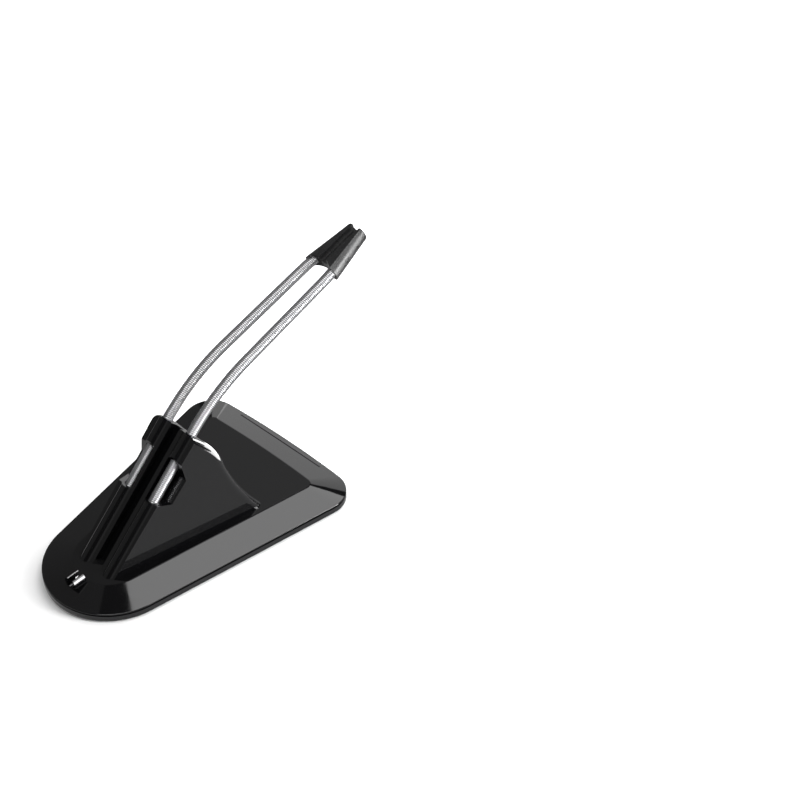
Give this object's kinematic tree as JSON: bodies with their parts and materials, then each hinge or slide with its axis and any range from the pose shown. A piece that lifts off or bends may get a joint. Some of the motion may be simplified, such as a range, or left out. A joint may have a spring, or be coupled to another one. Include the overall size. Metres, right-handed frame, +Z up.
{
  "type": "mouse bungee",
  "caption": "Weighted wedge base with a fin-shaped tower that holds a pair of close-wound springs, whose grooved head keeps a mouse cord off the desk.",
  "frame": {"origin": "middle of the whole part's box in plan, on the desk", "axes": "+X forwards over the desk, the way the springs lean, +Y left, +Z up"},
  "size_m": [0.2066, 0.1052, 0.1105],
  "materials": {
    "gloss_black": "polished moulding",
    "head_black": "satin moulding",
    "spring_steel": "bright drawn wire",
    "ballast_steel": "zinc primer",
    "screw_steel": "zinc plated",
    "foot_rubber": "matt"
  },
  "bodies": {
    "base": {"top_cover": "gloss_black", "bottom_tray": "gloss_black", "ballast_plate": "ballast_steel", "spring_tower": "gloss_black", "case_screws": "screw_steel", "tower_screws": "screw_steel", "rear_foot": "foot_rubber", "left_foot": "foot_rubber", "right_foot": "foot_rubber"},
    "springs": {"left_spring": "spring_steel", "right_spring": "spring_steel"},
    "head": {"cord_head": "head_black"}
  },
  "joints": [
    {"name": "spring_sway", "type": "hinge", "parent": "base", "child": "springs", "pos_m": [0.00065, 0, 0.0757], "axis": [-0.4534, 0, 0.8913], "range_deg": [-15, 15], "stiffness_Nm_per_rad": 0.05, "deforming": ["left_spring", "right_spring"]},
    {"name": "spring_bend", "type": "hinge", "parent": "springs", "child": "head", "pos_m": [0.05119, 0, 0.09199], "axis": [0, 1, 0], "range_deg": [-15, 25], "stiffness_Nm_per_rad": 0.05, "springref_deg": -0.92, "deforming": ["left_spring", "right_spring"]}
  ]
}
